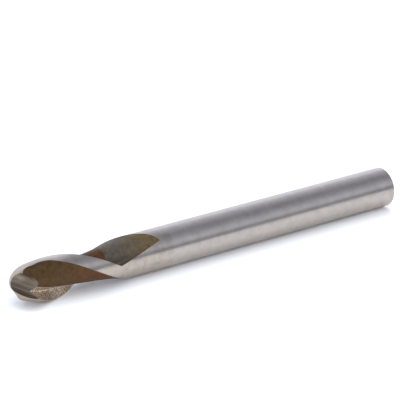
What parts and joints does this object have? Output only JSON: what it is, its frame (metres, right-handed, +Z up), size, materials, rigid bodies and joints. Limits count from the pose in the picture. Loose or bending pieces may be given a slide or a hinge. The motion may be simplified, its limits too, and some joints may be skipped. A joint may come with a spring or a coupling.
{
  "type": "ball-nose end mill",
  "caption": "Right-hand helical end mill with a relieved ball nose, oxide-brown flutes and a plain ground round shank.",
  "frame": {"origin": "centre of the shank's flat end face, on the tool axis", "axes": "tool axis along X with the ball nose towards -X and the shank end towards +X; +Z up, the tool lying level"},
  "size_m": [0.11, 0.01, 0.01],
  "materials": {
    "fluted_steel": "high-speed steel: brown steam oxide inside the flutes, bright grinding on the lands and nose",
    "ground_steel": "bright cylindrical grinding, fine marks round the shank"
  },
  "bodies": {
    "root": {"cutting_head": "fluted_steel", "shank": "ground_steel"}
  },
  "joints": []
}
